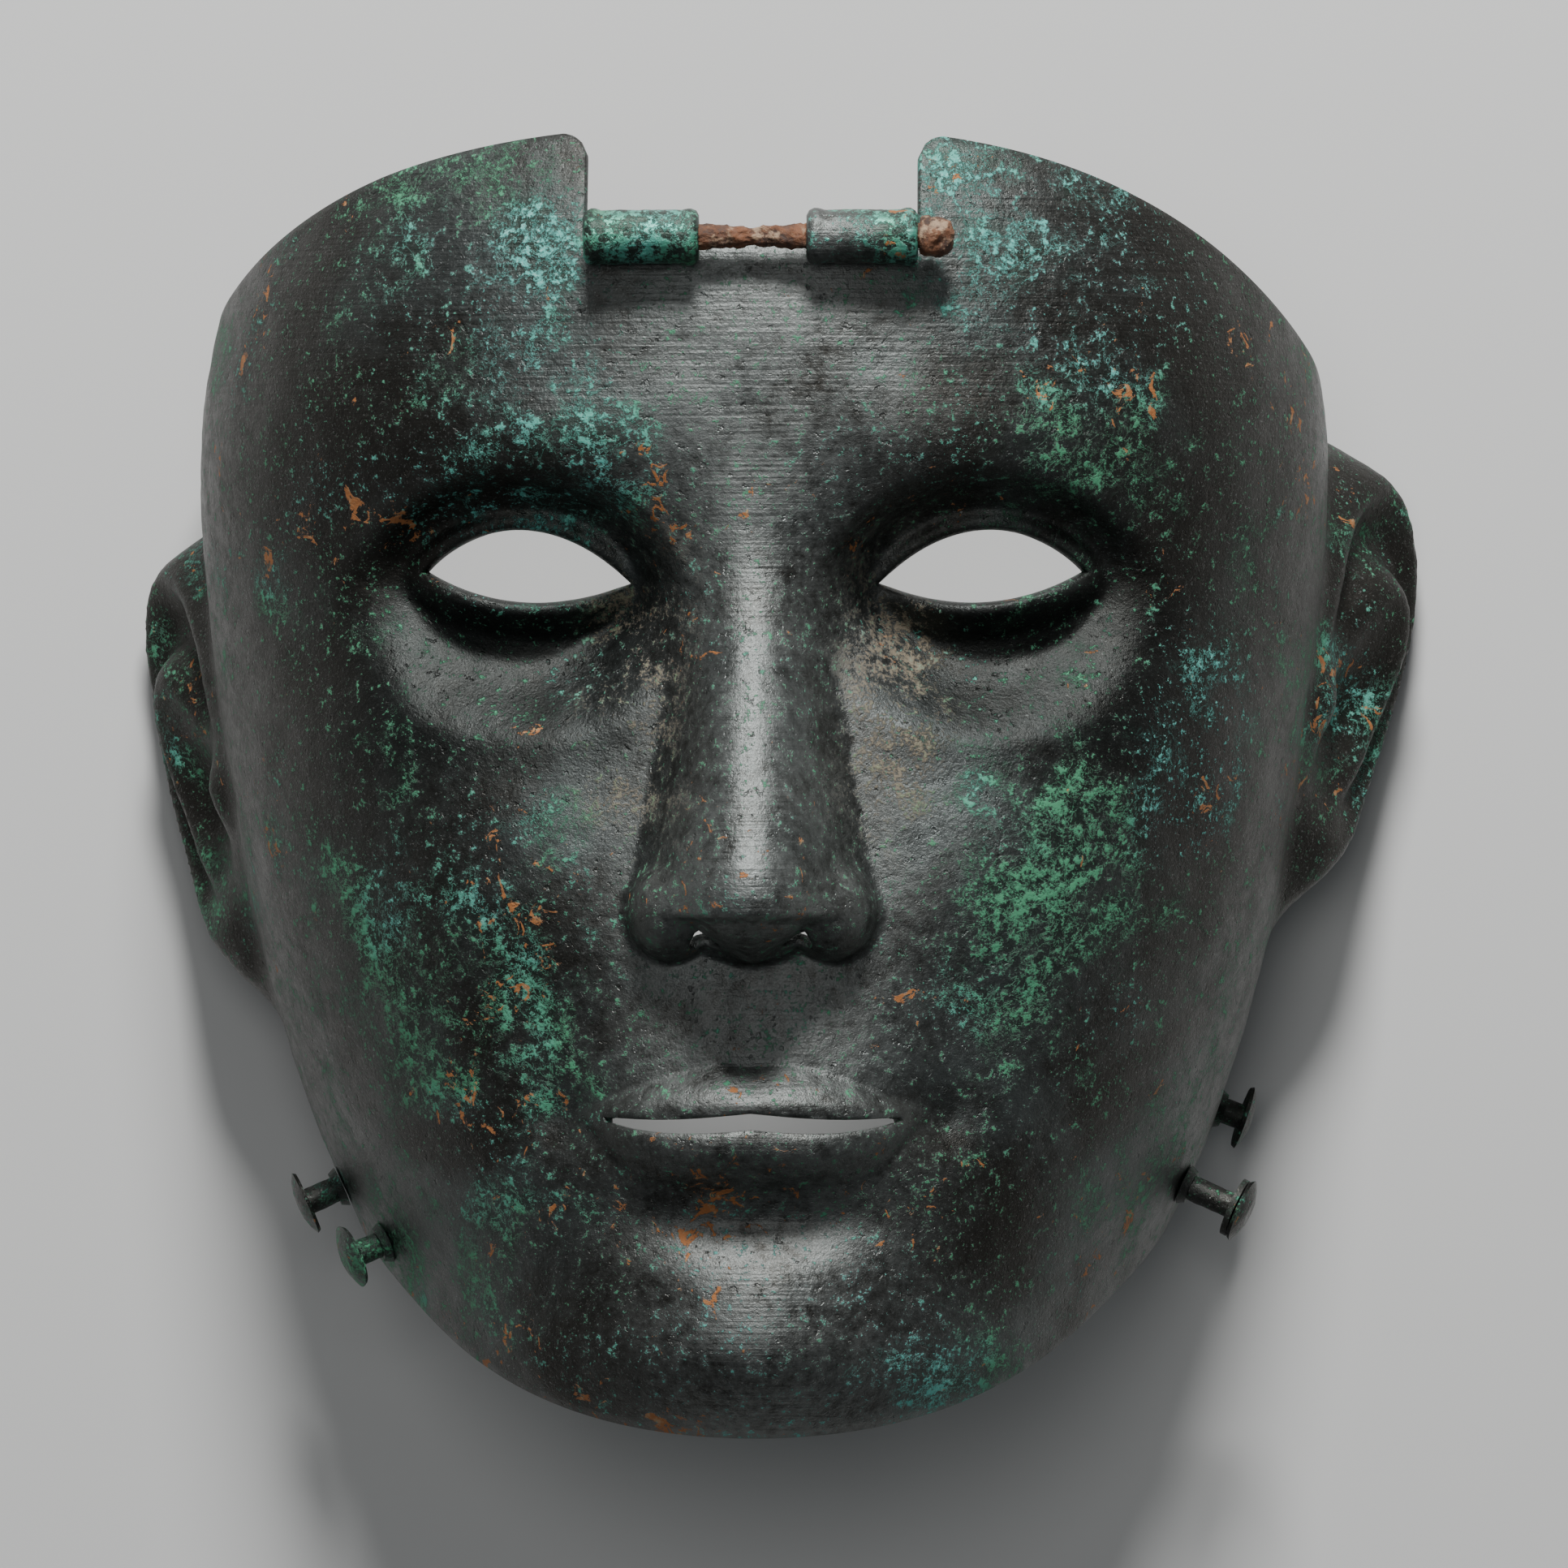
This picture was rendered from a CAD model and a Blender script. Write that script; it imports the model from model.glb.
import math

import bpy
import numpy as np
from mathutils import Matrix, Vector, noise
from mathutils.kdtree import KDTree


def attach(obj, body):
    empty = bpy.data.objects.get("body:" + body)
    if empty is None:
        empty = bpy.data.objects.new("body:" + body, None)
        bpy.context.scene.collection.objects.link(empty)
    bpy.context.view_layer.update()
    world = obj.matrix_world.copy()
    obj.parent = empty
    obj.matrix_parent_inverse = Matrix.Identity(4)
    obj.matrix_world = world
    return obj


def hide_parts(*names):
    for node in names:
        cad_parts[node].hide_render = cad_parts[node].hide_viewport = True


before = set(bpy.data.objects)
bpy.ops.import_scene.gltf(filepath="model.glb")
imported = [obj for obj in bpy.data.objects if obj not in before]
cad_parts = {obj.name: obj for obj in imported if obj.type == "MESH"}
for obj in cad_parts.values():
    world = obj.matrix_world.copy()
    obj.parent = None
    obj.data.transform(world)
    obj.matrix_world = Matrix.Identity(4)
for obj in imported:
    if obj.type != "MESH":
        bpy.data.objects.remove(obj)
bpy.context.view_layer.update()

# Face sheet: one plate of bronze about 2 mm thick, raised from behind over a form and cut open at
# the eyes, nostrils and mouth. Both ears are raised in the same plate. Sizes are in millimetres up
# the face from the chin's edge, and MM, MIDDLE_X and MIDDLE_Y carry them into the model's frame.
MM = 0.001
MIDDLE_X = 1.9
MIDDLE_Y = 96.1
SHEET_WALL = 1.8
SHEET_HALF_WIDTH = 90.0
REAR_TUCK = 0.07
TUCK_FROM_Z = 44.0
SHEET_DEPTH = 98.0
BOXY_FROM_Y = 20.0
BOXY_TO_Y = 110.0
PLATE_TOP_Y = 195.0
SIDE_FOOT_Y = 45.0
FOOT_SLOPE = 0.511
HEAD_LEFT_Y = 154.0
HEAD_RIGHT_Y = 145.0
HEAD_FRONT_Y = 197.0
HEAD_LEFT_SAG = 3.0
HEAD_RIGHT_SAG = 6.0
EYE_X = 34.0
EYE_Y = 127.0
EYE_HALF = 15.8
EYE_RISE = 7.6
EYE_DROP = 4.3
EYEBALL_Z = SHEET_DEPTH - 29.5
BROW_Y = 147.0
NOSE_FOOT_Y = 72.0
NOSE_TIP_Z = SHEET_DEPTH + 21.0
WING_X = 11.6
NOSTRIL_X = 6.8
NOSTRIL_Z = NOSE_TIP_Z - 15.2
NOSTRIL_WIDE = 2.3
NOSTRIL_DEEP = 2.5
MOUTH_Y = 47.0
MOUTH_HALF = 26.0
LIP_THICK = 5.0
SLIT_HALF = 1.25
CHIN_Y = 15.0
EAR_Y = 105.4
EAR_SKEW = 6.8
EAR_Z = 20.0
EAR_HALF_HEIGHT = 35.0
EAR_HALF_WIDTH = 15.0
EAR_OUT_LEFT = 15.4
EAR_OUT_RIGHT = 18.4
EAR_LEAN = 0.22
EAR_FROM_ANGLE = math.radians(62)
EAR_SMOOTH_ROUNDS = 8
NOTCH_HALF = 24.8
NOTCH_FLOOR_Y = HEAD_FRONT_Y - 20.8
NOTCH_CORNER = 4.0
HAMMER_MARK = 9.0
HAMMER_DEEP = 0.16
GRAIN_SIZE = 3.2
GRAIN_DEEP = 0.09
PIT_SIZE = 1.5
PIT_DEEP = 0.22
PIT_PATCH = 14.0
SHEET_COLUMNS = 297
SHEET_ROWS = 249
BACK_SHARE = 0.17


# A smooth curve through stations of place and value
def through(stations, q):
    xs = np.array([s[0] for s in stations], float)
    ys = np.array([s[1] for s in stations], float)
    slope = np.gradient(ys, xs)
    q = np.clip(q, xs[0], xs[-1])
    i = np.clip(np.searchsorted(xs, q) - 1, 0, len(xs) - 2)
    h = xs[i + 1] - xs[i]
    t = (q - xs[i]) / h
    rise = (1 + 2 * t) * (1 - t) ** 2 * ys[i] + t * t * (3 - 2 * t) * ys[i + 1]
    return rise + h * (t * (1 - t) ** 2 * slope[i] + t * t * (t - 1) * slope[i + 1])


def step(a, b, q):
    t = np.clip((q - a) / (b - a), 0, 1)
    return t * t * (3 - 2 * t)


def blend_max(a, b, k):
    h = np.clip(0.5 + 0.5 * (a - b) / k, 0, 1)
    return b * (1 - h) + a * h + k * h * (1 - h)


def swell(x, y, across=0.0, up=0.0, wide=1.0, tall=1.0, lift=1.0):
    return lift * np.exp(-((x - across) / wide) ** 2 - ((y - up) / tall) ** 2)


def dome(x, y, across, up, foot, wide, tall, high, turn=0.0):
    c = math.cos(turn)
    s = math.sin(turn)
    dx = x - across
    dy = y - up
    q = ((dx * c + dy * s) / wide) ** 2 + ((dy * c - dx * s) / tall) ** 2
    return foot + high * np.where(q < 1, np.sqrt(np.maximum(0, 1 - q)), -1.2 * (q - 1))


def half_width(y):
    share = ((-12, 0.54), (0, 0.61), (22, 0.70), (45, 0.81), (70, 0.89), (100, 0.947), (130, 0.99),
             (155, 0.985), (175, 0.935), (205, 0.80))
    return SHEET_HALF_WIDTH * through(share, y)


def front_depth(y):
    share = ((-12, 0.735), (-5, 0.845), (2, 0.93), (10, 0.98), (20, 0.99), (47, 1.0), (71, 1.0), (90, 0.98),
             (127, 0.96), (140, 1.0), (155, 1.03), (170, 1.025), (185, 0.99), (205, 0.88))
    return SHEET_DEPTH * through(share, y)


def plain_head(angle, y):
    squareness = 2.05 + 0.5 * step(BOXY_FROM_Y, BOXY_TO_Y, y)
    across = np.abs(np.sin(angle)) ** squareness
    out = np.abs(np.cos(angle)) ** squareness
    r = (across + out) ** (-1 / squareness)
    z = front_depth(y) * r * np.cos(angle)
    return half_width(y) * r * np.sin(angle) * (1 - REAR_TUCK * (1 - step(0, TUCK_FROM_Z, z))), z


def lid_distance(x, y):
    dx = np.abs(x) - EYE_X
    dy = y - EYE_Y - 0.06 * dx
    upper_r = (EYE_HALF ** 2 + EYE_RISE ** 2) / (2 * EYE_RISE)
    lower_r = (EYE_HALF ** 2 + EYE_DROP ** 2) / (2 * EYE_DROP)
    over = np.hypot(dx, dy + upper_r - EYE_RISE) - upper_r
    under = np.hypot(dx, dy - lower_r + EYE_DROP) - lower_r
    return np.maximum(over, under)


def with_eyes(x, y, z, lids):
    ax = np.abs(x)
    dx = ax - EYE_X
    dy = y - EYE_Y
    reach = np.where(dx < 0, 24.0, 27.0)
    upper = step(-14, 4, dy)
    hollow = 1 - step(0.38 + 0.34 * upper, 1.12 - 0.06 * upper, np.hypot(dx / reach, (dy + 4) / 19.3))
    inner = 1 + 0.55 * step(8, -16, dx)
    outer = 1 - 0.45 * step(8, 26, dx)
    z = z - 7.0 * hollow * inner * outer
    ball = dome(ax, y, EYE_X + 0.5, EYE_Y + 0.8, EYEBALL_Z, 19.5, 15.5, 19.0)
    z = blend_max(z, ball, 3.0)
    if lids:
        d = lid_distance(x, y)
        fade = 1 - step(12, 22, np.abs(dx))
        above = step(-2, 4, dy)
        z = z + 0.9 * np.exp(-((np.maximum(d, 0) - 0.9) / 1.3) ** 2) * fade
        z = z - 1.3 * np.exp(-((d - 5.6) / 1.2) ** 2) * fade * above
        z = z - 0.7 * np.exp(-((d - 4.6) / 1.4) ** 2) * fade * (1 - above)
    return z


def with_nose(x, y, z):
    ax = np.abs(x)
    tip = NOSE_TIP_Z
    ridge = through(((60, tip - 7), (78, tip), (84, tip), (105, tip - 8.5), (128, tip - 18.5),
                     (142, tip - 19.5), (160, tip - 23)), y)
    half = through(((60, 18), (78, 17.5), (86, 15.5), (104, 12.7), (120, 11.8), (134, 15.5), (146, 25),
                    (165, 30)), y)
    fall = through(((60, 30), (78, 24), (90, 20), (110, 15), (128, 10.5), (145, 8), (165, 8)), y)
    wedge = ridge - fall * (ax / half) ** 2.1 - 0.08 * np.maximum(ax - 20, 0) ** 2
    wedge = wedge - 60 * (1 - step(NOSE_FOOT_Y - 1, NOSE_FOOT_Y + 5.5, y)) - np.maximum(y - 150, 0)
    z = blend_max(z, wedge, 5.0)
    z = blend_max(z, dome(x, y, 0, NOSE_FOOT_Y + 8.8, tip - 14, 9.8, 8.8, 14.4), 6.0)
    z = blend_max(z, dome(ax, y, WING_X, NOSE_FOOT_Y + 6, tip - 22, 6.8, 7.6, 12.0, 0.25), 4.5)
    return blend_max(z, dome(x, y, 0, NOSE_FOOT_Y + 2.4, tip - 21, 3.8, 4.2, 12.5), 3.0)


def mouth_line(x):
    s = np.clip(np.abs(x) / MOUTH_HALF, 0, 1)
    return MOUTH_Y - 0.8 * np.sin(np.pi * s) + s ** 4


def with_lips(x, y, z):
    ax = np.abs(x)
    s = np.clip(ax / MOUTH_HALF, 0, 1)
    line = mouth_line(x)
    upper = 8.4 * (1 - s ** 1.9) ** 0.95 - swell(x, 0, wide=3.4, lift=1.5)
    lower = 9.4 * (1 - s ** 2.6) ** 0.9
    p = np.clip((y - line) / np.maximum(upper, 0.35), 0, 1.1)
    q = np.clip((line - y) / np.maximum(lower, 0.35), 0, 1.1)
    top = np.clip(1 - (p / 1.1) ** 2.2, 0, 1) ** 0.8 * (0.55 + 0.45 * np.sin(np.pi * (p * 0.8 + 0.14)))
    low = np.clip(1 - (q / 1.1) ** 2.6, 0, 1) ** 0.9 * (0.5 + 0.5 * np.sin(np.pi * (q * 0.75 + 0.18)))
    roll = np.where(y >= line, top * (1 - s ** 2.2), 1.15 * low * (1 - s ** 2.4))
    z = z + swell(x, y, up=MOUTH_Y + 1, wide=24, tall=15, lift=2.6)
    z = z + LIP_THICK * roll
    z = z - swell(ax, y, across=MOUTH_HALF + 1.5, up=MOUTH_Y, wide=5, tall=5, lift=2.4)
    groove = step(MOUTH_Y + 5, MOUTH_Y + 10, y) * (1 - step(NOSE_FOOT_Y - 6, NOSE_FOOT_Y, y))
    z = z - groove * swell(x, 0, wide=3.8, lift=0.7)
    z = z + groove * swell(ax, 0, across=6.0, wide=3.4, lift=0.3)
    return z - swell(x, y, up=MOUTH_Y - 15, wide=17, tall=5.0, lift=3.8)


def with_face(x, y, z, lids):
    ax = np.abs(x)
    z = z + swell(x, y, up=CHIN_Y, wide=15.5, tall=11, lift=3.5)
    z = z + swell(ax, y, across=56, up=104, wide=17, tall=14, lift=2.6)
    z = z + swell(ax, y, across=36, up=84, wide=16, tall=15, lift=1.8)
    z = z + swell(ax, y, across=30, up=BROW_Y, wide=24, tall=8, lift=2.2)
    z = z - swell(ax, y, across=30, up=60, wide=9, tall=14, lift=2.0)
    return with_lips(x, y, with_nose(x, y, with_eyes(x, y, z, lids)))


def ear_relief(side, y, z):
    up = y - EAR_Y - EAR_SKEW * side
    fore = z - EAR_Z + up * EAR_LEAN
    t = up / EAR_HALF_HEIGHT
    reach = EAR_HALF_WIDTH * np.clip(0.84 + 0.26 * t - 0.16 * t * t, 0.3, 2)
    f = fore / reach
    e = np.hypot(f, t)
    rear = step(1.0, -0.75, f)
    tall = 1 - 0.42 * (t - 0.3) ** 2
    round_edge = 1 - step(0.88, 1.18, e)
    rim = np.maximum(step(0.45, -0.35, f), step(0.0, 0.5, t)) * step(-0.85, -0.35, t)
    out = np.where(side < 0, EAR_OUT_LEFT, EAR_OUT_RIGHT) * (0.12 + 0.88 * rear) * tall
    out = out + 1.4 * np.exp(-((e - 0.88) / 0.12) ** 2) * rim
    out = out - 4.2 * np.exp(-((e - 0.64) / 0.13) ** 2) * rim
    out = out + 1.6 * np.exp(-((e - 0.40) / 0.11) ** 2) * rim
    out = out - swell(fore, up, across=1, up=-5, wide=5.5, tall=9.5, lift=6.0)
    out = out + swell(fore, up, across=10, up=-4, wide=3.2, tall=5.5, lift=2.8)
    out = out + swell(fore, up, across=0, up=-25, wide=6, tall=7, lift=1.8)
    return np.maximum(out, 0) * round_edge


def surface(angle, y, lids=True):
    x, z = plain_head(angle, y)
    front = 1 - step(math.radians(62), math.radians(84), np.abs(angle))
    z = z + (with_face(x, y, z, lids) - z) * front
    x = x + np.sign(angle) * ear_relief(np.sign(angle), y, z)
    return np.stack([x, y, z], -1)


def outward(angle, y):
    da = 0.012
    dy = 0.5
    inside = np.clip(angle, -math.pi / 2 + da, math.pi / 2 - da)
    along = surface(inside + da, y, False) - surface(inside - da, y, False)
    up = surface(inside, y + dy, False) - surface(inside, y - dy, False)
    n = np.cross(along, up)
    return n / np.linalg.norm(n, axis=-1, keepdims=True)


# The lower and the upper edge of the sheet, cut slanting from the brow and the chin to the rear
def sheet_edges(angle):
    lean = np.clip(0.5 + angle / math.radians(80), 0, 1)
    side_head = HEAD_LEFT_Y + (HEAD_RIGHT_Y - HEAD_LEFT_Y) * lean
    sag = HEAD_LEFT_SAG + (HEAD_RIGHT_SAG - HEAD_LEFT_SAG) * lean
    rise = (HEAD_FRONT_Y - side_head) / SHEET_DEPTH
    top = np.full_like(angle, HEAD_FRONT_Y - 10)
    low = np.full_like(angle, SIDE_FOOT_Y - 35)
    for _ in range(60):
        z = plain_head(angle, top)[1]
        top = 0.5 * top + 0.5 * (side_head + rise * z - sag * np.sin(np.pi * np.clip(z / SHEET_DEPTH, 0, 1)))
        low = 0.5 * low + 0.5 * (SIDE_FOOT_Y - FOOT_SLOPE * plain_head(angle, low)[1])
    return low, top


def spread(stops, total):
    place = np.array([s[0] for s in stops], float)
    gap = np.array([s[1] for s in stops], float)
    fine = np.linspace(place[0], place[-1], 4000)
    density = 1 / np.interp(fine, place, gap)
    count = np.concatenate([[0], np.cumsum((density[1:] + density[:-1]) / 2 * np.diff(fine))])
    return np.interp(np.linspace(0, count[-1], total), count, fine)


def in_eye(angle, y):
    return lid_distance(plain_head(angle, y)[0], y)


def in_mouth(angle, y):
    x = plain_head(angle, y)[0]
    reach = MOUTH_HALF - 3
    s = np.clip(np.abs(x) / reach, 0, 1)
    away = y - mouth_line(x)
    within = np.abs(away) - SLIT_HALF * np.sqrt(1 - s * s)
    return np.where(np.abs(x) > reach, np.hypot(np.abs(x) - reach, away), within)


def in_nostril(angle, y):
    p = surface(angle, y, False)
    across = (np.abs(p[..., 0]) - NOSTRIL_X) / NOSTRIL_WIDE
    out = (p[..., 2] - NOSTRIL_Z) / NOSTRIL_DEEP
    return np.maximum(np.hypot(across, out) - 1, np.abs(y - NOSE_FOOT_Y - 2) / 4 - 1)


def in_notch(angle, y):
    x = plain_head(angle, y)[0]
    top = sheet_edges(angle)[1]
    r = NOTCH_CORNER
    wall = np.maximum(r - (np.abs(x) - NOTCH_HALF), 0)
    brow = np.maximum(r - (top - y + 0.05), 0)
    corner = r - np.hypot(wall, brow)
    return np.maximum(corner, NOTCH_FLOOR_Y - y)


# An opening: the net's points nearest to its outline are moved onto it, and what lies within is dropped
def cut(tri, angle, y, distance):
    d = distance(angle, y)
    e = np.concatenate([tri[:, [0, 1]], tri[:, [1, 2]], tri[:, [2, 0]]])
    e = np.unique(np.sort(e, 1), axis=0)
    e = e[(d[e[:, 0]] < 0) != (d[e[:, 1]] < 0)]
    first_near = np.abs(d[e[:, 0]]) < np.abs(d[e[:, 1]])
    pick = np.where(first_near, e[:, 0], e[:, 1])
    other = np.where(first_near, e[:, 1], e[:, 0])
    order = np.argsort(np.abs(d[pick]) + np.abs(d[other]), kind="stable")
    pick, first = np.unique(pick[order], return_index=True)
    other = other[order][first]
    low = np.zeros(len(pick))
    high = np.ones(len(pick))
    inside = d[pick] < 0
    for _ in range(20):
        mid = (low + high) / 2
        a = angle[pick] + (angle[other] - angle[pick]) * mid
        h = y[pick] + (y[other] - y[pick]) * mid
        same = (distance(a, h) < 0) == inside
        low = np.where(same, mid, low)
        high = np.where(same, high, mid)
    new_angle = angle.copy()
    new_y = y.copy()
    new_angle[pick] = angle[pick] + (angle[other] - angle[pick]) * high
    new_y[pick] = y[pick] + (y[other] - y[pick]) * high
    snapped = np.zeros(len(d), bool)
    snapped[pick] = True
    gone = (d < 0) & ~snapped
    keep = ~gone[tri].any(1)
    every = snapped[tri].all(1)
    middle = distance(new_angle[tri].mean(1), new_y[tri].mean(1))
    keep &= ~(every & (middle < 0))
    return tri[keep], new_angle, new_y


def open_edges(tri):
    e = np.concatenate([tri[:, [0, 1]], tri[:, [1, 2]], tri[:, [2, 0]]])
    _, back, count = np.unique(np.sort(e, 1), axis=0, return_inverse=True, return_counts=True)
    return e[count[back.ravel()] == 1]


def unpinched(tri):
    while True:
        touching = np.bincount(open_edges(tri).ravel(), minlength=tri.max() + 1) > 2
        if not touching.any():
            return tri
        tri = tri[~touching[tri].any(1)]


def smoothed(points, tri, fixed, rounds):
    e = np.concatenate([tri[:, [0, 1]], tri[:, [1, 2]], tri[:, [2, 0]]])
    e = np.unique(np.sort(e, 1), axis=0)
    count = np.bincount(e.ravel(), minlength=len(points)).astype(float)[:, None]
    for _ in range(rounds):
        total = np.zeros_like(points)
        np.add.at(total, e[:, 0], points[e[:, 1]])
        np.add.at(total, e[:, 1], points[e[:, 0]])
        points = np.where(fixed[:, None], points, 0.5 * points + 0.5 * total / count)
    return points


# Net of the sheet, closest round the lids, nostrils, lips and ears, with its openings cut
half = spread(((0, 0.60), (16, 0.60), (36, 0.68), (44, 1.2), (60, 1.2), (67, 0.55), (87, 0.5), (90, 0.7)),
              SHEET_COLUMNS // 2 + 1)
column_angle = np.radians(np.concatenate([-half[:0:-1], half]))
row_share = spread(((0, 1.2), (28, 0.9), (36, 0.5), (58, 0.55), (66, 0.45), (71, 0.22), (77, 0.22), (81, 0.5),
                    (112, 0.9), (119, 0.42), (135, 0.42), (144, 0.8), (160, 1.2), (PLATE_TOP_Y, 1.1)),
                   SHEET_ROWS) / PLATE_TOP_Y
low_edge, top_edge = sheet_edges(column_angle)
angle = np.repeat(column_angle[None, :], SHEET_ROWS, 0)
height = low_edge[None, :] + row_share[:, None] * (top_edge - low_edge)[None, :]
n = np.arange(SHEET_ROWS * SHEET_COLUMNS).reshape(SHEET_ROWS, SHEET_COLUMNS)
quads = np.stack([n[:-1, :-1], n[:-1, 1:], n[1:, 1:], n[1:, :-1]], -1)
p = surface(angle, height)
rise = np.linalg.norm(p[1:, 1:] - p[:-1, :-1], axis=-1)
fall = np.linalg.norm(p[1:, :-1] - p[:-1, 1:], axis=-1)
one_way = quads[rise < fall]
other_way = quads[rise >= fall]
tri = np.concatenate([one_way[:, [0, 1, 2]], one_way[:, [0, 2, 3]], other_way[:, [0, 1, 3]],
                      other_way[:, [1, 2, 3]]])
angle = angle.ravel()
height = height.ravel()
for distance in (in_eye, in_mouth, in_nostril, in_notch):
    tri, angle, height = cut(tri, angle, height, distance)
tri = unpinched(tri)
used, back_index = np.unique(tri, return_inverse=True)
tri = back_index.reshape(-1, 3)
angle = angle[used]
height = height[used]

# Hammer marks and pits in the front, and the plainer back one wall behind it
edge_pairs = open_edges(tri)
on_edge = np.zeros(len(angle), bool)
on_edge[np.unique(edge_pairs)] = True
no_ear = on_edge | (np.abs(angle) < EAR_FROM_ANGLE)
front = smoothed(surface(angle, height), tri, no_ear, EAR_SMOOTH_ROUNDS)
normal = outward(angle, height)


def roughness_of(points, scale, seed):
    shift = Vector((seed * 7.3, seed * 3.1, seed * 5.7))
    return np.array([noise.noise(Vector(p) / scale + shift) for p in points])


hammer = roughness_of(front, HAMMER_MARK, 1) * HAMMER_DEEP + roughness_of(front, GRAIN_SIZE, 2) * GRAIN_DEEP
pits = np.clip(roughness_of(front, PIT_SIZE, 3) - 0.22, 0, 1)
pits = -PIT_DEEP * pits * np.clip(roughness_of(front, PIT_PATCH, 4) + 0.75, 0, 1.2)
relief = np.where(on_edge, 0, hammer + pits)
front_worked = front + normal * relief[:, None]
back = smoothed(surface(angle, height, False), tri, no_ear, EAR_SMOOTH_ROUNDS) - SHEET_WALL * normal
back = smoothed(back, tri, on_edge, 3)
tree = KDTree(len(front))
for i, p in enumerate(front):
    tree.insert(p, i)
tree.balance()
for _ in range(2):
    near = np.array([tree.find(p)[2] for p in back])
    short = np.where(on_edge, 0, np.clip(SHEET_WALL * 0.9 - near, 0, None))
    back = back - normal * short[:, None]
on_rim = np.abs(front[:, 2]) < 1e-6
back[on_rim, 2] = 0

# Edges of the sheet and of its openings, rounded by wear
count = len(front)
away = np.zeros_like(front)
run = front[edge_pairs[:, 1]] - front[edge_pairs[:, 0]]
sideways = np.cross(run, normal[edge_pairs[:, 0]] + normal[edge_pairs[:, 1]])
sideways /= np.linalg.norm(sideways, axis=1, keepdims=True) + 1e-9
np.add.at(away, edge_pairs[:, 0], sideways)
np.add.at(away, edge_pairs[:, 1], sideways)
away /= np.linalg.norm(away, axis=1, keepdims=True) + 1e-9
edge_ids = np.unique(edge_pairs)
rank = np.full(count, -1)
rank[edge_ids] = np.arange(len(edge_ids))
loops = [edge_ids]
points = [front_worked, back]
start = 2 * count
for share, bulge in ((0.12, 0.16), (0.36, 0.30), (0.64, 0.30), (0.88, 0.16)):
    ring = front[edge_ids] * (1 - share) + back[edge_ids] * share + away[edge_ids] * bulge
    ring[on_rim[edge_ids], 2] = 0
    points.append(ring)
    loops.append(np.arange(start, start + len(edge_ids)))
    start += len(edge_ids)
loops.append(edge_ids + count)
faces = [tri, tri[:, ::-1] + count]
a = rank[edge_pairs[:, 0]]
b = rank[edge_pairs[:, 1]]
for one, two in zip(loops[:-1], loops[1:]):
    faces.append(np.stack([one[b], one[a], two[a]], -1))
    faces.append(np.stack([one[b], two[a], two[b]], -1))
points = np.concatenate(points)
faces = np.concatenate(faces)
points -= np.array([MIDDLE_X, MIDDLE_Y, 0])
mesh = bpy.data.meshes.new("face_sheet")
mesh.from_pydata((points * MM).tolist(), [], faces.tolist())
mesh.update()
face_sheet = bpy.data.objects.new("face_sheet", mesh)
bpy.context.scene.collection.objects.link(face_sheet)

inside = face_sheet.vertex_groups.new(name="inside")
inside.add((np.where(~on_edge)[0] + count).tolist(), 1.0, "REPLACE")
plainer = face_sheet.modifiers.new("plainer_inside", "DECIMATE")
plainer.ratio = (len(faces) - len(tri) * (1 - BACK_SHARE)) / len(faces)
plainer.vertex_group = "inside"


def settle(piece, smooth_deg):
    graph = bpy.context.evaluated_depsgraph_get()
    done = bpy.data.meshes.new_from_object(piece.evaluated_get(graph), depsgraph=graph)
    piece.modifiers.clear()
    piece.data = done
    done.shade_smooth()
    done.set_sharp_from_angle(angle=math.radians(smooth_deg))


settle(face_sheet, 60)


def put(nodes, kind, sockets, **settings):
    node = nodes.new(kind)
    for key, value in settings.items():
        setattr(node, key, value)
    for key, value in sockets.items():
        if isinstance(value, bpy.types.NodeSocket):
            nodes.id_data.links.new(value, node.inputs[key])
        else:
            node.inputs[key].default_value = value
    return node


def cloud(nodes, place, scale, detail=4.0, rough=0.55, warp=0.0):
    return put(nodes, "ShaderNodeTexNoise", {"Vector": place, "Scale": scale, "Detail": detail,
                                             "Roughness": rough, "Distortion": warp}).outputs["Fac"]


def between(nodes, value, low, high, out_low=0.0, out_high=1.0):
    limits = {"Value": value, "From Min": low, "From Max": high, "To Min": out_low, "To Max": out_high}
    return put(nodes, "ShaderNodeMapRange", limits, interpolation_type="SMOOTHSTEP").outputs["Result"]


def sum_of(nodes, a, b, operation="ADD"):
    return put(nodes, "ShaderNodeMath", {0: a, 1: b}, operation=operation).outputs[0]


def tint(nodes, share, under, over):
    return put(nodes, "ShaderNodeMix", {0: share, 6: under, 7: over}, data_type="RGBA").outputs[2]


def blend_value(nodes, share, under, over):
    return put(nodes, "ShaderNodeMix", {0: share, 2: under, 3: over}, data_type="FLOAT").outputs[0]


# Patina of the sheet: dark satin bronze under a speckled green and turquoise crust with ochre flecks
BROWN_BRONZE = (0.032, 0.030, 0.026, 1)
GREY_BRONZE = (0.095, 0.107, 0.104, 1)
GREEN_STAIN = (0.020, 0.046, 0.032, 1)
HOLLOW_BLACK = (0.014, 0.016, 0.015, 1)
WORN_METAL = (0.200, 0.212, 0.204, 1)
LEAF_GREEN = (0.060, 0.250, 0.130, 1)
TURQUOISE = (0.095, 0.400, 0.350, 1)
PALE_BLOOM = (0.330, 0.560, 0.510, 1)
OCHRE = (0.320, 0.122, 0.036, 1)
PALE_OCHRE = (0.360, 0.235, 0.125, 1)
TAN_CRUST = (0.210, 0.170, 0.115, 1)


def near_zero(nodes, value, full, none):
    return between(nodes, sum_of(nodes, value, 0.0, "ABSOLUTE"), none, full)


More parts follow.
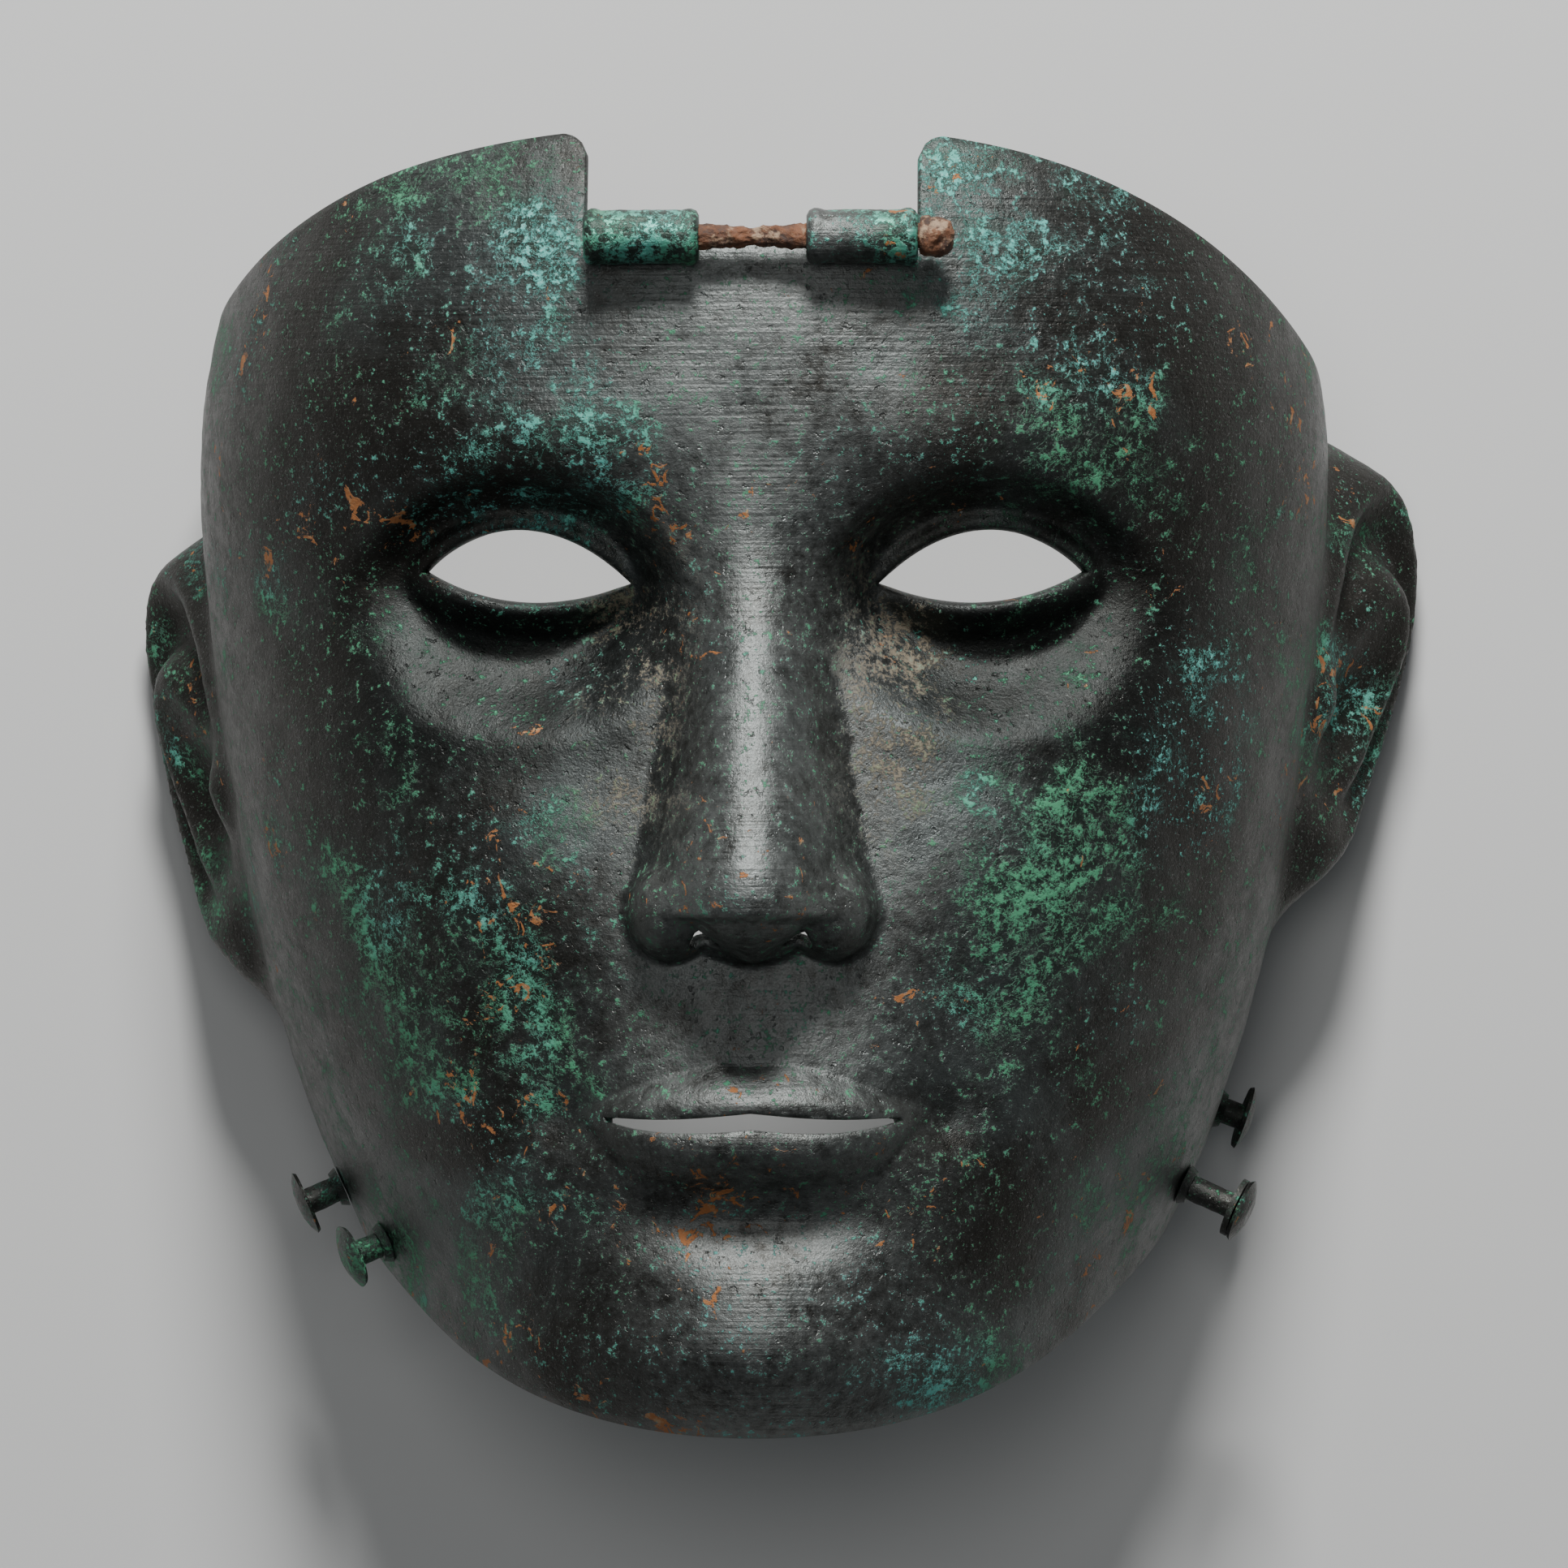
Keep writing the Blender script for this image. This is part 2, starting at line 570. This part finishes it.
def thick_spot(nodes, place, centre, reach):
    away = put(nodes, "ShaderNodeVectorMath", {0: place, 1: centre}, operation="DISTANCE").outputs["Value"]
    return between(nodes, away, reach, reach * 0.25)


def patina(name, green_share, bloom_share, crust_height, worn_share, crust_rough, crust_metal):
    material = bpy.data.materials.new(name)
    material.use_nodes = True
    nodes = material.node_tree.nodes
    shader = nodes["Principled BSDF"]
    place = put(nodes, "ShaderNodeTexCoord", {}).outputs["Object"]
    axes = put(nodes, "ShaderNodeSeparateXYZ", {"Vector": place}).outputs
    blotch = cloud(nodes, place, 26, 3, 0.6, 0.6)
    patch = cloud(nodes, place, 85, 5, 0.65, 0.4)
    grain = cloud(nodes, place, 520, 6, 0.72)
    fine = cloud(nodes, place, 1800, 4, 0.7)

    # The metal: brown to grey, rubbed bright down the middle of the brow, nose and chin
    greyer = between(nodes, sum_of(nodes, blotch, sum_of(nodes, grain, 0.35, "MULTIPLY")), 0.52, 0.85)
    beyond = sum_of(nodes, sum_of(nodes, axes["X"], 0.0, "ABSOLUTE"), 0.040, "SUBTRACT")
    below = sum_of(nodes, axes["Y"], 0.016, "SUBTRACT")
    under_eye = sum_of(nodes, near_zero(nodes, beyond, 0.014, 0.030), near_zero(nodes, below, 0.008, 0.020),
                       "MULTIPLY")
    metal = tint(nodes, sum_of(nodes, greyer, near_zero(nodes, axes["X"], 0.030, 0.088), "MULTIPLY"),
                 BROWN_BRONZE, GREY_BRONZE)
    middle = near_zero(nodes, axes["X"], 0.004, 0.034)
    worn = sum_of(nodes, middle, between(nodes, sum_of(nodes, patch, grain), 0.62, 1.25), "MULTIPLY")
    metal = tint(nodes, sum_of(nodes, worn, worn_share, "MULTIPLY"), metal, WORN_METAL)
    glint = between(nodes, cloud(nodes, place, 2400, 3, 0.6), 0.60, 0.70)
    metal = tint(nodes, sum_of(nodes, glint, 0.65, "MULTIPLY"), metal, WORN_METAL)
    metal = tint(nodes, sum_of(nodes, under_eye, 0.7, "MULTIPLY"), metal, HOLLOW_BLACK)

    # The crust: clusters of specks, joined by thin lines like lace, thickest on the right lobe, over the
    # left brow and under the chin, and thinner where the metal is rubbed
    turquoise_spot = thick_spot(nodes, place, (0.040, 0.091, 0.090), 0.040)
    for centre, reach in (((-0.036, 0.050, 0.095), 0.030), ((0.000, -0.083, 0.080), 0.036),
                          ((-0.004, -0.076, 0.088), 0.018),
                          ((0.062, 0.008, 0.070), 0.024), ((-0.034, 0.078, 0.094), 0.013),
                          ((-0.018, 0.081, 0.105), 0.013)):
        turquoise_spot = sum_of(nodes, turquoise_spot, thick_spot(nodes, place, centre, reach), "MAXIMUM")
    green_spot = thick_spot(nodes, place, (-0.046, -0.030, 0.085), 0.040)
    for centre, reach in (((0.050, -0.010, 0.080), 0.032), ((0.052, 0.052, 0.085), 0.030)):
        green_spot = sum_of(nodes, green_spot, thick_spot(nodes, place, centre, reach), "MAXIMUM")
    spot = sum_of(nodes, turquoise_spot, green_spot, "MAXIMUM")
    thinner = sum_of(nodes, sum_of(nodes, middle, worn_share, "MULTIPLY"),
                     sum_of(nodes, 1.0, turquoise_spot, "SUBTRACT"), "MULTIPLY")
    gather = sum_of(nodes, blotch, sum_of(nodes, patch, 0.9, "MULTIPLY"))
    gather = sum_of(nodes, gather, sum_of(nodes, spot, 0.145, "MULTIPLY"))
    gather = sum_of(nodes, gather, sum_of(nodes, thinner, 0.22, "MULTIPLY"), "SUBTRACT")
    cluster = between(nodes, gather, 0.92 - green_share, 1.28 - green_share)
    specks = sum_of(nodes, sum_of(nodes, grain, sum_of(nodes, fine, 0.40, "MULTIPLY")),
                    sum_of(nodes, cluster, 0.13, "MULTIPLY"))
    crust = between(nodes, specks, 0.80, 0.88)
    lace = sum_of(nodes, cloud(nodes, place, 330, 5, 0.7, 0.5), 0.5, "SUBTRACT")
    lace = sum_of(nodes, near_zero(nodes, lace, 0.003, 0.018),
                  between(nodes, gather, 0.96 - green_share, 1.12 - green_share), "MULTIPLY")
    crust = sum_of(nodes, crust, sum_of(nodes, lace, 0.75, "MULTIPLY"), "MAXIMUM")
    stray = sum_of(nodes, cloud(nodes, place, 1100, 4, 0.7), sum_of(nodes, patch, 0.30, "MULTIPLY"))
    scatter = between(nodes, stray, 0.775, 0.83)
    crust = sum_of(nodes, crust, sum_of(nodes, scatter, 0.8, "MULTIPLY"), "MAXIMUM")
    cool = between(nodes, sum_of(nodes, sum_of(nodes, cloud(nodes, place, 38, 3, 0.6), 0.6, "MULTIPLY"),
                                 sum_of(nodes, turquoise_spot, 0.16, "MULTIPLY")), 0.28, 0.46)
    green = tint(nodes, cool, LEAF_GREEN, TURQUOISE)
    bloom = between(nodes, sum_of(nodes, fine, sum_of(nodes, cluster, 0.10, "MULTIPLY")), 0.58, 0.76)
    bloom = sum_of(nodes, sum_of(nodes, bloom, cool, "MULTIPLY"), bloom_share, "MULTIPLY")
    green = tint(nodes, bloom, green, PALE_BLOOM)
    metal = tint(nodes, sum_of(nodes, cluster, 0.7, "MULTIPLY"), metal, GREEN_STAIN)
    colour = tint(nodes, crust, metal, green)

    # Ochre flecks in loose groups, and a tan crumb left in the corners beside the nose
    fleck_group = sum_of(nodes, cloud(nodes, place, 42, 3, 0.6), 0.75, "MULTIPLY")
    fleck = between(nodes, sum_of(nodes, cloud(nodes, place, 300, 5, 0.68, 0.9), fleck_group), 1.075, 1.095)
    ochre = tint(nodes, between(nodes, grain, 0.50, 0.66), OCHRE, PALE_OCHRE)
    colour = tint(nodes, fleck, colour, ochre)
    beside = sum_of(nodes, sum_of(nodes, axes["X"], 0.0, "ABSOLUTE"), 0.019, "SUBTRACT")
    tall = near_zero(nodes, sum_of(nodes, axes["Y"], 0.014, "SUBTRACT"), 0.010, 0.030)
    crumb = sum_of(nodes, sum_of(nodes, near_zero(nodes, beside, 0.002, 0.012), tall, "MULTIPLY"),
                   between(nodes, sum_of(nodes, sum_of(nodes, patch, grain), fine), 1.50, 1.68), "MULTIPLY")
    crumb = sum_of(nodes, crumb, worn_share, "MULTIPLY")
    colour = tint(nodes, crumb, colour, TAN_CRUST)
    mineral = sum_of(nodes, sum_of(nodes, crust, fleck, "MAXIMUM"), crumb, "MAXIMUM")
    links = material.node_tree.links
    links.new(colour, shader.inputs["Base Color"])
    links.new(blend_value(nodes, mineral, 0.82, crust_metal), shader.inputs["Metallic"])
    satin = between(nodes, sum_of(nodes, patch, grain), 0.7, 1.3, 0.32, 0.52)
    links.new(blend_value(nodes, mineral, satin, crust_rough), shader.inputs["Roughness"])

    # Scrape marks of cleaning run across the brow; pits and crust stand in the bump
    stretched = put(nodes, "ShaderNodeMapping", {"Vector": place, "Scale": (60, 1400, 60)}).outputs["Vector"]
    brow = between(nodes, axes["Y"], 0.045, 0.062)
    scraped = sum_of(nodes, brow, near_zero(nodes, axes["X"], 0.005, 0.012), "MAXIMUM")
    scrape = sum_of(nodes, sum_of(nodes, scraped, 0.6, "MULTIPLY"), cloud(nodes, stretched, 1.0, 2, 0.5),
                    "MULTIPLY")
    pit = between(nodes, cloud(nodes, place, 620, 3, 0.6), 0.62, 0.72)
    relief = sum_of(nodes, sum_of(nodes, grain, 0.9, "MULTIPLY"), sum_of(nodes, pit, 0.6, "MULTIPLY"),
                    "SUBTRACT")
    relief = sum_of(nodes, relief, scrape)
    relief = sum_of(nodes, relief, sum_of(nodes, fine, 0.45, "MULTIPLY"))
    relief = sum_of(nodes, relief, sum_of(nodes, mineral, crust_height, "MULTIPLY"))
    bump = put(nodes, "ShaderNodeBump", {"Height": relief, "Strength": 0.6, "Distance": 0.0004})
    links.new(bump.outputs["Normal"], shader.inputs["Normal"])
    return material


sheet_patina = patina("sheet_patina", green_share=-0.03, bloom_share=0.6, crust_height=0.35, worn_share=0.8,
                      crust_rough=0.75, crust_metal=0.0)
face_sheet.data.materials.clear()
face_sheet.data.materials.append(sheet_patina)
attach(face_sheet, "root")
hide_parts("mask")

# Hinge knuckles: two short bronze tubes brazed into the lower corners of the notch, cast with a
# thick collar at each end and eaten uneven by bright green corrosion
KNUCKLE_R = 4.0
COLLAR_R = 4.25
COLLAR_LONG = 1.6
PIN_R = 2.0
GAP = 0.3
BORE_R = PIN_R + GAP
LEFT_KNUCKLE_END = -7.6
RIGHT_KNUCKLE_END = 8.2
HINGE_Y = NOTCH_FLOOR_Y + 0.5
HINGE_PROUD = COLLAR_R + GAP
HINGE_Z = float(front_depth(np.array([NOTCH_FLOOR_Y]))[0]) + HINGE_PROUD
TURNED_SIDES = 72
KNUCKLE_DENT = 0.16
KNUCKLE_DENT_SIZE = 2.6


def turned(name, profile, closed, origin, axis, dent, dent_size, seed):
    """A turned form along its axis with its surface eaten a little uneven."""
    rows = []
    for (a0, r0), (a1, r1) in zip(profile[:-1], profile[1:]):
        steps = max(1, int(math.hypot(a1 - a0, r1 - r0) / 0.45))
        for k in range(steps):
            rows.append((a0 + (a1 - a0) * k / steps, r0 + (r1 - r0) * k / steps))
    rows.append(profile[-1])
    if closed:
        rows = rows[:-1]
    points = []
    faces = []
    rings = []
    shift = Vector((seed * 9.1, seed * 4.3, seed * 2.9))
    for along, radius in rows:
        if radius <= 1e-9:
            rings.append([len(points)])
            points.append((along, 0.0, 0.0))
            continue
        rings.append(list(range(len(points), len(points) + TURNED_SIDES)))
        for k in range(TURNED_SIDES):
            turn = 2 * math.pi * k / TURNED_SIDES
            spot = Vector((along, radius * math.cos(turn), radius * math.sin(turn)))
            worn = noise.noise(spot / dent_size + shift) + 0.5 * noise.noise(spot / dent_size * 2.7 + shift)
            grown = radius + dent * (worn - 0.35) * min(1.0, radius / 1.5)
            points.append((along + dent * 0.4 * worn, grown * math.cos(turn), grown * math.sin(turn)))
    pairs = list(zip(rings[:-1], rings[1:]))
    if closed:
        pairs.append((rings[-1], rings[0]))
    for a, b in pairs:
        for k in range(TURNED_SIDES):
            m = (k + 1) % TURNED_SIDES
            if len(a) == 1:
                faces.append((a[0], b[m], b[k]))
            elif len(b) == 1:
                faces.append((a[k], a[m], b[0]))
            else:
                faces.append((a[k], a[m], b[m], b[k]))
    turn = Vector((1, 0, 0)).rotation_difference(Vector(axis)).to_matrix()
    placed = [(turn @ Vector(p) + Vector(origin) - Vector((MIDDLE_X, MIDDLE_Y, 0))) * MM for p in points]
    mesh = bpy.data.meshes.new(name)
    mesh.from_pydata(placed, [], faces)
    mesh.update()
    mesh.shade_smooth()
    mesh.set_sharp_from_angle(angle=math.radians(50))
    piece = bpy.data.objects.new(name, mesh)
    bpy.context.scene.collection.objects.link(piece)
    return piece


hinge_green = patina("hinge_green", green_share=0.18, bloom_share=0.45, crust_height=0.18, worn_share=0.7,
                     crust_rough=0.34, crust_metal=0.45)
for name, node, start, end, seed in (
        ("left_knuckle", "hinge_knuckle_left", -NOTCH_HALF + GAP, LEFT_KNUCKLE_END, 1),
        ("right_knuckle", "hinge_knuckle_right", RIGHT_KNUCKLE_END, NOTCH_HALF - GAP, 2)):
    profile = [(start, BORE_R), (start, COLLAR_R - 1.0), (start + 0.35, COLLAR_R - 0.35),
               (start + 1.1, COLLAR_R), (start + COLLAR_LONG, COLLAR_R),
               (start + COLLAR_LONG + 1.0, KNUCKLE_R),
               (end - COLLAR_LONG - 1.0, KNUCKLE_R), (end - COLLAR_LONG, COLLAR_R), (end - 1.1, COLLAR_R),
               (end - 0.35, COLLAR_R - 0.35), (end, COLLAR_R - 1.0), (end, BORE_R), (start, BORE_R)]
    knuckle = turned(name, profile, True, (0, HINGE_Y, HINGE_Z), (1, 0, 0), KNUCKLE_DENT,
                     KNUCKLE_DENT_SIZE, seed)
    knuckle.data.materials.append(hinge_green)
    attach(knuckle, "root")
    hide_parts(node)

# Hinge pin: an iron rod about 4 mm thick, rusted fast in both knuckles, eaten thin where it is
# bare between them and ending over the right lobe in a lump that was its hammered head
PIN_WAIST_R = 1.75
PIN_HEAD_R = 3.1
PIN_HEAD_LONG = 5.0
PIN_DENT = 0.5
PIN_DENT_SIZE = 1.5
RUST_DARK = (0.050, 0.028, 0.020, 1)
RUST_ORANGE = (0.175, 0.072, 0.034, 1)
RUST_PALE = (0.330, 0.230, 0.150, 1)


def rust(name):
    material = bpy.data.materials.new(name)
    material.use_nodes = True
    nodes = material.node_tree.nodes
    links = material.node_tree.links
    shader = nodes["Principled BSDF"]
    place = put(nodes, "ShaderNodeTexCoord", {}).outputs["Object"]
    patch = cloud(nodes, place, 260, 5, 0.7, 0.5)
    grain = cloud(nodes, place, 1300, 5, 0.7)
    redder = sum_of(nodes, patch, sum_of(nodes, grain, 0.4, "MULTIPLY"))
    colour = tint(nodes, between(nodes, redder, 0.55, 0.85), RUST_DARK, RUST_ORANGE)
    crumbly = sum_of(nodes, cloud(nodes, place, 420, 4, 0.6), sum_of(nodes, grain, 0.5, "MULTIPLY"))
    colour = tint(nodes, between(nodes, crumbly, 0.74, 0.92), colour, RUST_PALE)
    links.new(colour, shader.inputs["Base Color"])
    shader.inputs["Metallic"].default_value = 0.05
    links.new(between(nodes, grain, 0.3, 0.7, 0.6, 0.95), shader.inputs["Roughness"])
    height = sum_of(nodes, patch, sum_of(nodes, grain, 0.6, "MULTIPLY"))
    bump = put(nodes, "ShaderNodeBump", {"Height": height, "Strength": 0.9, "Distance": 0.0006})
    links.new(bump.outputs["Normal"], shader.inputs["Normal"])
    return material


pin_start = -NOTCH_HALF + 1.5
bare_from = LEFT_KNUCKLE_END + 1
bare_to = RIGHT_KNUCKLE_END - 1
head_from = NOTCH_HALF
profile = [(pin_start, 0), (pin_start, PIN_R - 0.4), (pin_start + 0.4, PIN_R), (bare_from, PIN_R),
           (bare_from + 2, PIN_WAIST_R + 0.1), (bare_from + 6, PIN_WAIST_R - 0.25),
           (bare_to - 5, PIN_WAIST_R), (bare_to, PIN_R), (head_from, PIN_R),
           (head_from, PIN_HEAD_R - 0.4), (head_from + 0.7, PIN_HEAD_R),
           (head_from + 3.2, PIN_HEAD_R - 0.1), (head_from + PIN_HEAD_LONG - 0.6, PIN_HEAD_R - 0.9),
           (head_from + PIN_HEAD_LONG, 1.2), (head_from + PIN_HEAD_LONG, 0)]
pin = turned("rusted_pin", profile, False, (0, HINGE_Y, HINGE_Z), (1, 0, 0), PIN_DENT, PIN_DENT_SIZE, 3)
pin.data.materials.append(rust("pin_rust"))
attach(pin, "root")
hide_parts("hinge_pin")

# Strap studs: bronze buttons on thick shanks along the lower rear edges, where the straps that held
# the mask buttoned on; each is riveted on through a small foot, and one keeps a thin rove
STUD_HEAD_R = 5.0
STUD_HEAD_THICK = 1.6
STUD_FLAT_R = 2.2
STUD_SHANK_R = 2.0
STUD_FOOT_R = 3.2
STUD_FOOT_THICK = 1.2
ROVE_R = 4.6
ROVE_THICK = 0.9
STUD_DENT = 0.12
STUD_DENT_SIZE = 2.5
# Side, height up the face, height over the rim and length of shank of each
STUDS = {
    "stud_left_upper": (-1, 35.0, 35.0, 6.0),
    "stud_left_lower": (-1, 27.0, 49.0, 5.5),
    "stud_right_upper": (1, 46.5, 17.0, 4.4),
    "stud_right_lower": (1, 35.5, 37.0, 9.6),
}
stud_patina = patina("stud_patina", green_share=-0.05, bloom_share=0.4, crust_height=0.35, worn_share=0.0,
                     crust_rough=0.75, crust_metal=0.0)
for number, (name, (side, seat_y, seat_z, stand)) in enumerate(STUDS.items()):
    swept = np.linspace(math.radians(20), math.radians(89.9), 4000) * side
    seat_angle = swept[np.argmin(np.abs(plain_head(swept, np.full_like(swept, seat_y))[1] - seat_z))]
    seat = surface(np.array([seat_angle]), np.array([seat_y]))[0]
    axis = outward(np.array([seat_angle]), np.array([seat_y]))[0]
    profile = [(GAP, 0), (GAP, STUD_FOOT_R), (GAP + STUD_FOOT_THICK, STUD_FOOT_R - 0.6),
               (GAP + STUD_FOOT_THICK, STUD_SHANK_R), (stand, STUD_SHANK_R), (stand, STUD_HEAD_R - 0.3),
               (stand + 0.5, STUD_HEAD_R), (stand + STUD_HEAD_THICK * 0.7, STUD_HEAD_R * 0.75),
               (stand + STUD_HEAD_THICK, STUD_FLAT_R), (stand + STUD_HEAD_THICK, 0)]
    stud = turned(name + "_button", profile, False, seat, axis, STUD_DENT, STUD_DENT_SIZE,
                  10 + number)
    stud.data.materials.append(stud_patina)
    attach(stud, "root")
    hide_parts(name)
    if name == "stud_right_lower":
        over = stand - ROVE_THICK - GAP
        bore = STUD_SHANK_R + GAP
        profile = [(over, bore), (over, ROVE_R), (over + ROVE_THICK, ROVE_R), (over + ROVE_THICK, bore),
                   (over, bore)]
        rove = turned(name + "_thin_rove", profile, True, seat, axis, STUD_DENT, STUD_DENT_SIZE, 20)
        rove.data.materials.append(stud_patina)
        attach(rove, "root")
        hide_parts("stud_right_lower_rove")

# Floor, light and camera: the mask lies face up on a plain pale floor and the camera looks down on it
FLOOR_HALF = 3.0
PAPER_COLOUR = (0.62, 0.62, 0.61, 1)
AIR_COLOUR = (0.9, 0.95, 1.0, 1)
AIR_STRENGTH = 0.12
LIGHT_AIM = (0, 0, 0.06)
CAMERA_AWAY = 1.6
LOOK_AT = Vector((0.0019, 0.0004, 0.060))
CAMERA_YAW = 1.4
LENS = 243.8

floor_mesh = bpy.data.meshes.new("studio_floor")
floor_corners = [(-FLOOR_HALF, -FLOOR_HALF, 0), (FLOOR_HALF, -FLOOR_HALF, 0),
                 (FLOOR_HALF, FLOOR_HALF, 0), (-FLOOR_HALF, FLOOR_HALF, 0)]
floor_mesh.from_pydata(floor_corners, [], [(0, 1, 2, 3)])
floor = bpy.data.objects.new("studio_floor", floor_mesh)
bpy.context.scene.collection.objects.link(floor)
paper = bpy.data.materials.new("pale_paper")
paper.use_nodes = True
paper.node_tree.nodes["Principled BSDF"].inputs["Base Color"].default_value = PAPER_COLOUR
paper.node_tree.nodes["Principled BSDF"].inputs["Roughness"].default_value = 0.9
floor_mesh.materials.append(paper)

world = bpy.data.worlds.new("studio_air")
world.use_nodes = True
world.node_tree.nodes["Background"].inputs["Color"].default_value = AIR_COLOUR
world.node_tree.nodes["Background"].inputs["Strength"].default_value = AIR_STRENGTH
bpy.context.scene.world = world


def softbox(name, place, power, size):
    lamp = bpy.data.lights.new(name, "AREA")
    lamp.shape = "DISK"
    lamp.energy = power
    lamp.size = size
    holder = bpy.data.objects.new(name, lamp)
    holder.location = place
    holder.rotation_euler = (Vector(LIGHT_AIM) - Vector(place)).to_track_quat("-Z", "Y").to_euler()
    bpy.context.scene.collection.objects.link(holder)


softbox("top_light", (0.04, 0.93, 0.74), power=23.0, size=0.32)
softbox("front_fill", (-0.1, 0.2, 1.6), power=4.0, size=0.6)

view = bpy.data.cameras.new("camera")
view.lens = LENS
view.sensor_width = 36.0
camera = bpy.data.objects.new("camera", view)
yaw = math.radians(CAMERA_YAW)
toward = Vector((math.sin(yaw), 0, math.cos(yaw)))
camera.location = LOOK_AT + toward * CAMERA_AWAY
across = Vector((0, 1, 0)).cross(toward).normalized()
camera.rotation_euler = Matrix((across, toward.cross(across), toward)).transposed().to_euler()
bpy.context.scene.collection.objects.link(camera)
bpy.context.scene.camera = camera
